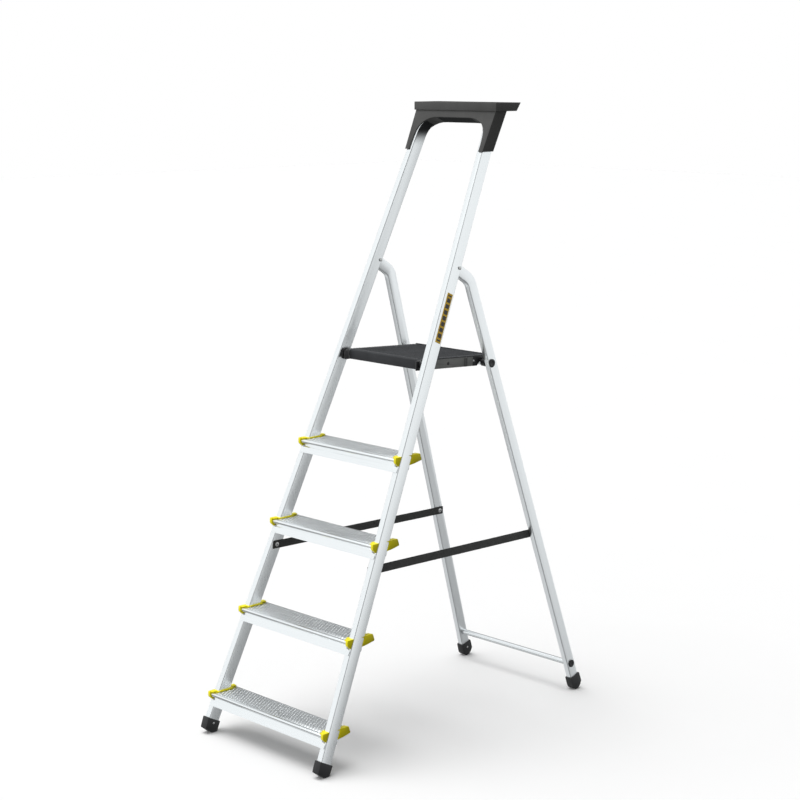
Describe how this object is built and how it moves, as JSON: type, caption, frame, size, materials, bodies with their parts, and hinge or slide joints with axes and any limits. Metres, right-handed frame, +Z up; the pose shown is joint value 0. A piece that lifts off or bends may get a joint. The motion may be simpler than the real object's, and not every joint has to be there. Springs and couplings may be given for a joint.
{
  "type": "platform step ladder",
  "caption": "Folding aluminium step ladder with ribbed treads, a hinged standing platform, side straps and a tool tray on top.",
  "frame": {"origin": "middle of the footprint, on the floor", "axes": "+Z up, +Y from the climbing side towards the rear frame, X across the treads"},
  "size_m": [0.4986, 1.0631, 1.74],
  "materials": {
    "aluminium_tube": "extruded, satin",
    "tread_aluminium": "extruded, ribbed",
    "yellow_cap": "moulded, satin",
    "steel": "plated",
    "rubber": "matt",
    "tray_plastic": "fine grain",
    "label": "printed film, no lettering",
    "webbing": "woven",
    "deck": "textured black, non-slip",
    "grey_plate": "satin grey",
    "black_plastic": "fine grain"
  },
  "bodies": {
    "front_frame": {"front_frame_tube": "aluminium_tube", "tool_tray": "tray_plastic", "label_right": "label", "tread_1": "tread_aluminium", "tread_cap_left_1": "yellow_cap", "tread_cap_right_1": "yellow_cap", "tread_rivet_left_1": "steel", "tread_rivet_right_1": "steel", "tread_2": "tread_aluminium", "tread_cap_left_2": "yellow_cap", "tread_cap_right_2": "yellow_cap", "tread_rivet_left_2": "steel", "tread_rivet_right_2": "steel", "tread_3": "tread_aluminium", "tread_cap_left_3": "yellow_cap", "tread_cap_right_3": "yellow_cap", "tread_rivet_left_3": "steel", "tread_rivet_right_3": "steel", "tread_4": "tread_aluminium", "tread_cap_left_4": "yellow_cap", "tread_cap_right_4": "yellow_cap", "tread_rivet_left_4": "steel", "tread_rivet_right_4": "steel", "front_foot_left": "rubber", "front_foot_rivet_left": "steel", "platform_bracket_left": "grey_plate", "platform_pin_left": "black_plastic", "pivot_bolt_left": "steel", "strap_left": "webbing", "strap_rivet_front_left": "steel", "front_foot_right": "rubber", "front_foot_rivet_right": "steel", "platform_bracket_right": "grey_plate", "platform_pin_right": "black_plastic", "pivot_bolt_right": "steel", "strap_right": "webbing", "strap_rivet_front_right": "steel"},
    "rear_frame": {"platform_rod": "aluminium_tube", "lower_crossbar": "aluminium_tube", "rear_leg_left": "aluminium_tube", "rod_plug_left": "black_plastic", "crossbar_plug_left": "black_plastic", "rear_foot_left": "rubber", "rear_foot_rivet_left": "steel", "strap_rivet_rear_left": "steel", "rear_leg_right": "aluminium_tube", "rod_plug_right": "black_plastic", "crossbar_plug_right": "black_plastic", "rear_foot_right": "rubber", "rear_foot_rivet_right": "steel", "strap_rivet_rear_right": "steel"},
    "platform": {"platform_deck": "deck", "side_plate_left": "grey_plate", "platform_hook_left": "black_plastic", "side_plate_right": "grey_plate", "platform_hook_right": "black_plastic"}
  },
  "joints": [
    {"name": "rear_frame_fold", "type": "hinge", "parent": "front_frame", "child": "rear_frame", "pos_m": [0, 0.0696, 1.294], "axis": [1, 0, 0], "range_deg": [-38, 0], "deforming": ["strap_left", "strap_right"]},
    {"name": "platform_fold", "type": "hinge", "parent": "front_frame", "child": "platform", "pos_m": [0, -0.0574, 1.0375], "axis": [1, 0, 0], "range_deg": [0, 68.4]}
  ],
  "couplings": [
    {"joint": "platform_fold", "follows": "rear_frame_fold", "ratio": -1.8}
  ]
}
